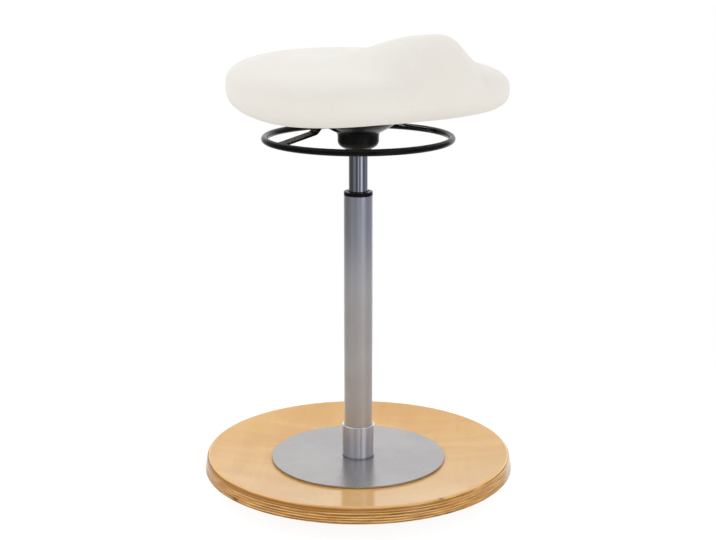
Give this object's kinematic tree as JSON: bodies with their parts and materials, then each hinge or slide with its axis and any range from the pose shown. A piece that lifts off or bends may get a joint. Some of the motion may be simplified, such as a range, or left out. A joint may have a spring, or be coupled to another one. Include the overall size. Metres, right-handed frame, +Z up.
{
  "type": "wobble stool",
  "caption": "Rocking stool with a dished plywood base on a soft foot, a gas-lift column, a ring lever and a saddle seat raised at the back.",
  "frame": {"origin": "centre of the rubber foot's sole, on the floor", "axes": "+Z up the column, +Y to the seat's front, +X to the sitter's right"},
  "size_m": [0.4634, 0.4634, 0.6885],
  "materials": {
    "tread_rubber": "matt moulded tread",
    "soft_rubber": "matt soft rubber",
    "birch_ply": "glossy clear lacquer on moulded birch ply, laminated edge",
    "beech": "plain, unfinished",
    "satin_steel": "satin silver paint",
    "zinc_steel": "zinc plated",
    "chrome": "polished",
    "bearing_steel": "ground",
    "black_plastic": "fine moulded grain",
    "black_steel": "satin black powder coat",
    "red_plastic": "moulded",
    "foam": "open cell foam",
    "seat_fabric": "stretched off-white fabric, fine weave"
  },
  "bodies": {
    "sole": {"foot_sole": "tread_rubber"},
    "cushion": {"foot_cushion": "soft_rubber"},
    "base": {"base_dish": "birch_ply", "levelling_pad": "beech", "weld_nut_1": "zinc_steel", "weld_nut_2": "zinc_steel", "weld_nut_3": "zinc_steel", "weld_nut_4": "zinc_steel", "base_screw_1": "zinc_steel", "base_screw_2": "zinc_steel", "base_screw_3": "zinc_steel", "base_screw_4": "zinc_steel", "base_disc": "satin_steel", "column_collar": "satin_steel", "column_tube": "satin_steel", "column_floor": "zinc_steel", "bearing_washer_lower": "bearing_steel", "bearing_race": "bearing_steel", "guide_bush": "black_plastic"},
    "rod": {"bearing_washer_upper": "bearing_steel", "rod_damper": "soft_rubber", "piston_rod": "chrome", "piston_head": "black_plastic", "retaining_clip": "zinc_steel"},
    "seat": {"pressure_tube": "chrome", "rod_guide": "black_plastic", "valve_block": "zinc_steel", "taper_socket": "black_steel", "trim_cup": "black_plastic", "carrier_dish": "black_steel", "carrier_plate": "black_steel", "pivot_boss": "black_steel", "seat_board": "beech", "tee_nut_1": "zinc_steel", "tee_nut_2": "zinc_steel", "tee_nut_3": "zinc_steel", "tee_nut_4": "zinc_steel", "seat_screw_1": "zinc_steel", "seat_screw_2": "zinc_steel", "seat_screw_3": "zinc_steel", "seat_screw_4": "zinc_steel", "seat_foam": "foam", "seat_cover": "seat_fabric"},
    "lever": {"lever_hub": "black_steel", "lever_strap": "black_steel", "lever_ring": "black_steel"},
    "button": {"valve_button": "red_plastic"}
  },
  "joints": [
    {"name": "rock_side", "type": "hinge", "parent": "sole", "child": "cushion", "pos_m": [0, 0, 0.005], "axis": [0, 1, 0], "range_deg": [-4.5, 4.5], "stiffness_Nm_per_rad": 150, "deforming": ["foot_cushion"]},
    {"name": "rock_fore", "type": "hinge", "parent": "cushion", "child": "base", "pos_m": [0, 0, 0.005], "axis": [1, 0, 0], "range_deg": [-4.5, 4.5], "stiffness_Nm_per_rad": 150, "deforming": ["foot_cushion"]},
    {"name": "swivel", "type": "hinge", "parent": "base", "child": "rod", "pos_m": [0, 0, 0.0605], "axis": [0, 0, 1], "continuous": true},
    {"name": "lift", "type": "slide", "parent": "rod", "child": "seat", "axis": [0, 0, 1], "range_m": [-0.045, 0.155]},
    {"name": "lever_tilt", "type": "hinge", "parent": "seat", "child": "lever", "pos_m": [0.02, 0, 0.5587], "axis": [0, -1, 0], "range_deg": [0, 6], "stiffness_Nm_per_rad": 8, "springref_deg": -11.46},
    {"name": "valve_press", "type": "slide", "parent": "seat", "child": "button", "axis": [0, 0, -1], "range_m": [0, 0.0025]}
  ],
  "couplings": [
    {"joint": "valve_press", "follows": "lever_tilt", "m_per_rad": 0.02}
  ]
}
